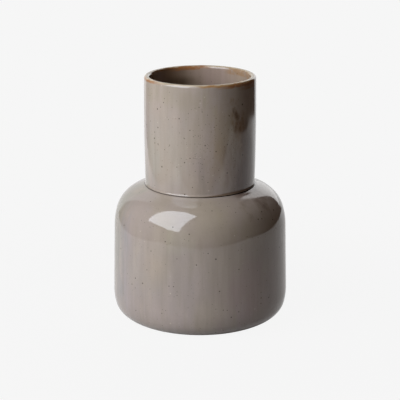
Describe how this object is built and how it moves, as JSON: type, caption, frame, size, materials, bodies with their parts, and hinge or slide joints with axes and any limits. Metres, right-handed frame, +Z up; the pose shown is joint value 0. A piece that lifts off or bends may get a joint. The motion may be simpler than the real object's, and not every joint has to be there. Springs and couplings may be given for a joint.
{
  "type": "bottle vase",
  "caption": "Round-shouldered stoneware bottle vase with a wide straight neck, glazed inside and out, that holds cut flowers in water",
  "frame": {"origin": "centre of the plane that the foot ring rests on", "axes": "+Z up along the vase's axis of revolution; X and Y are free, because the vase is round; the picture looks along +Y"},
  "size_m": [0.18, 0.18, 0.252],
  "materials": {
    "stoneware": "matte",
    "reactive_glaze": "gloss",
    "rim_glaze": "gloss"
  },
  "bodies": {
    "root": {"belly": "stoneware", "neck": "stoneware", "joint_slip": "stoneware", "belly_glaze": "reactive_glaze", "neck_glaze": "reactive_glaze", "inner_glaze": "reactive_glaze", "rim_glaze": "rim_glaze"}
  },
  "joints": []
}
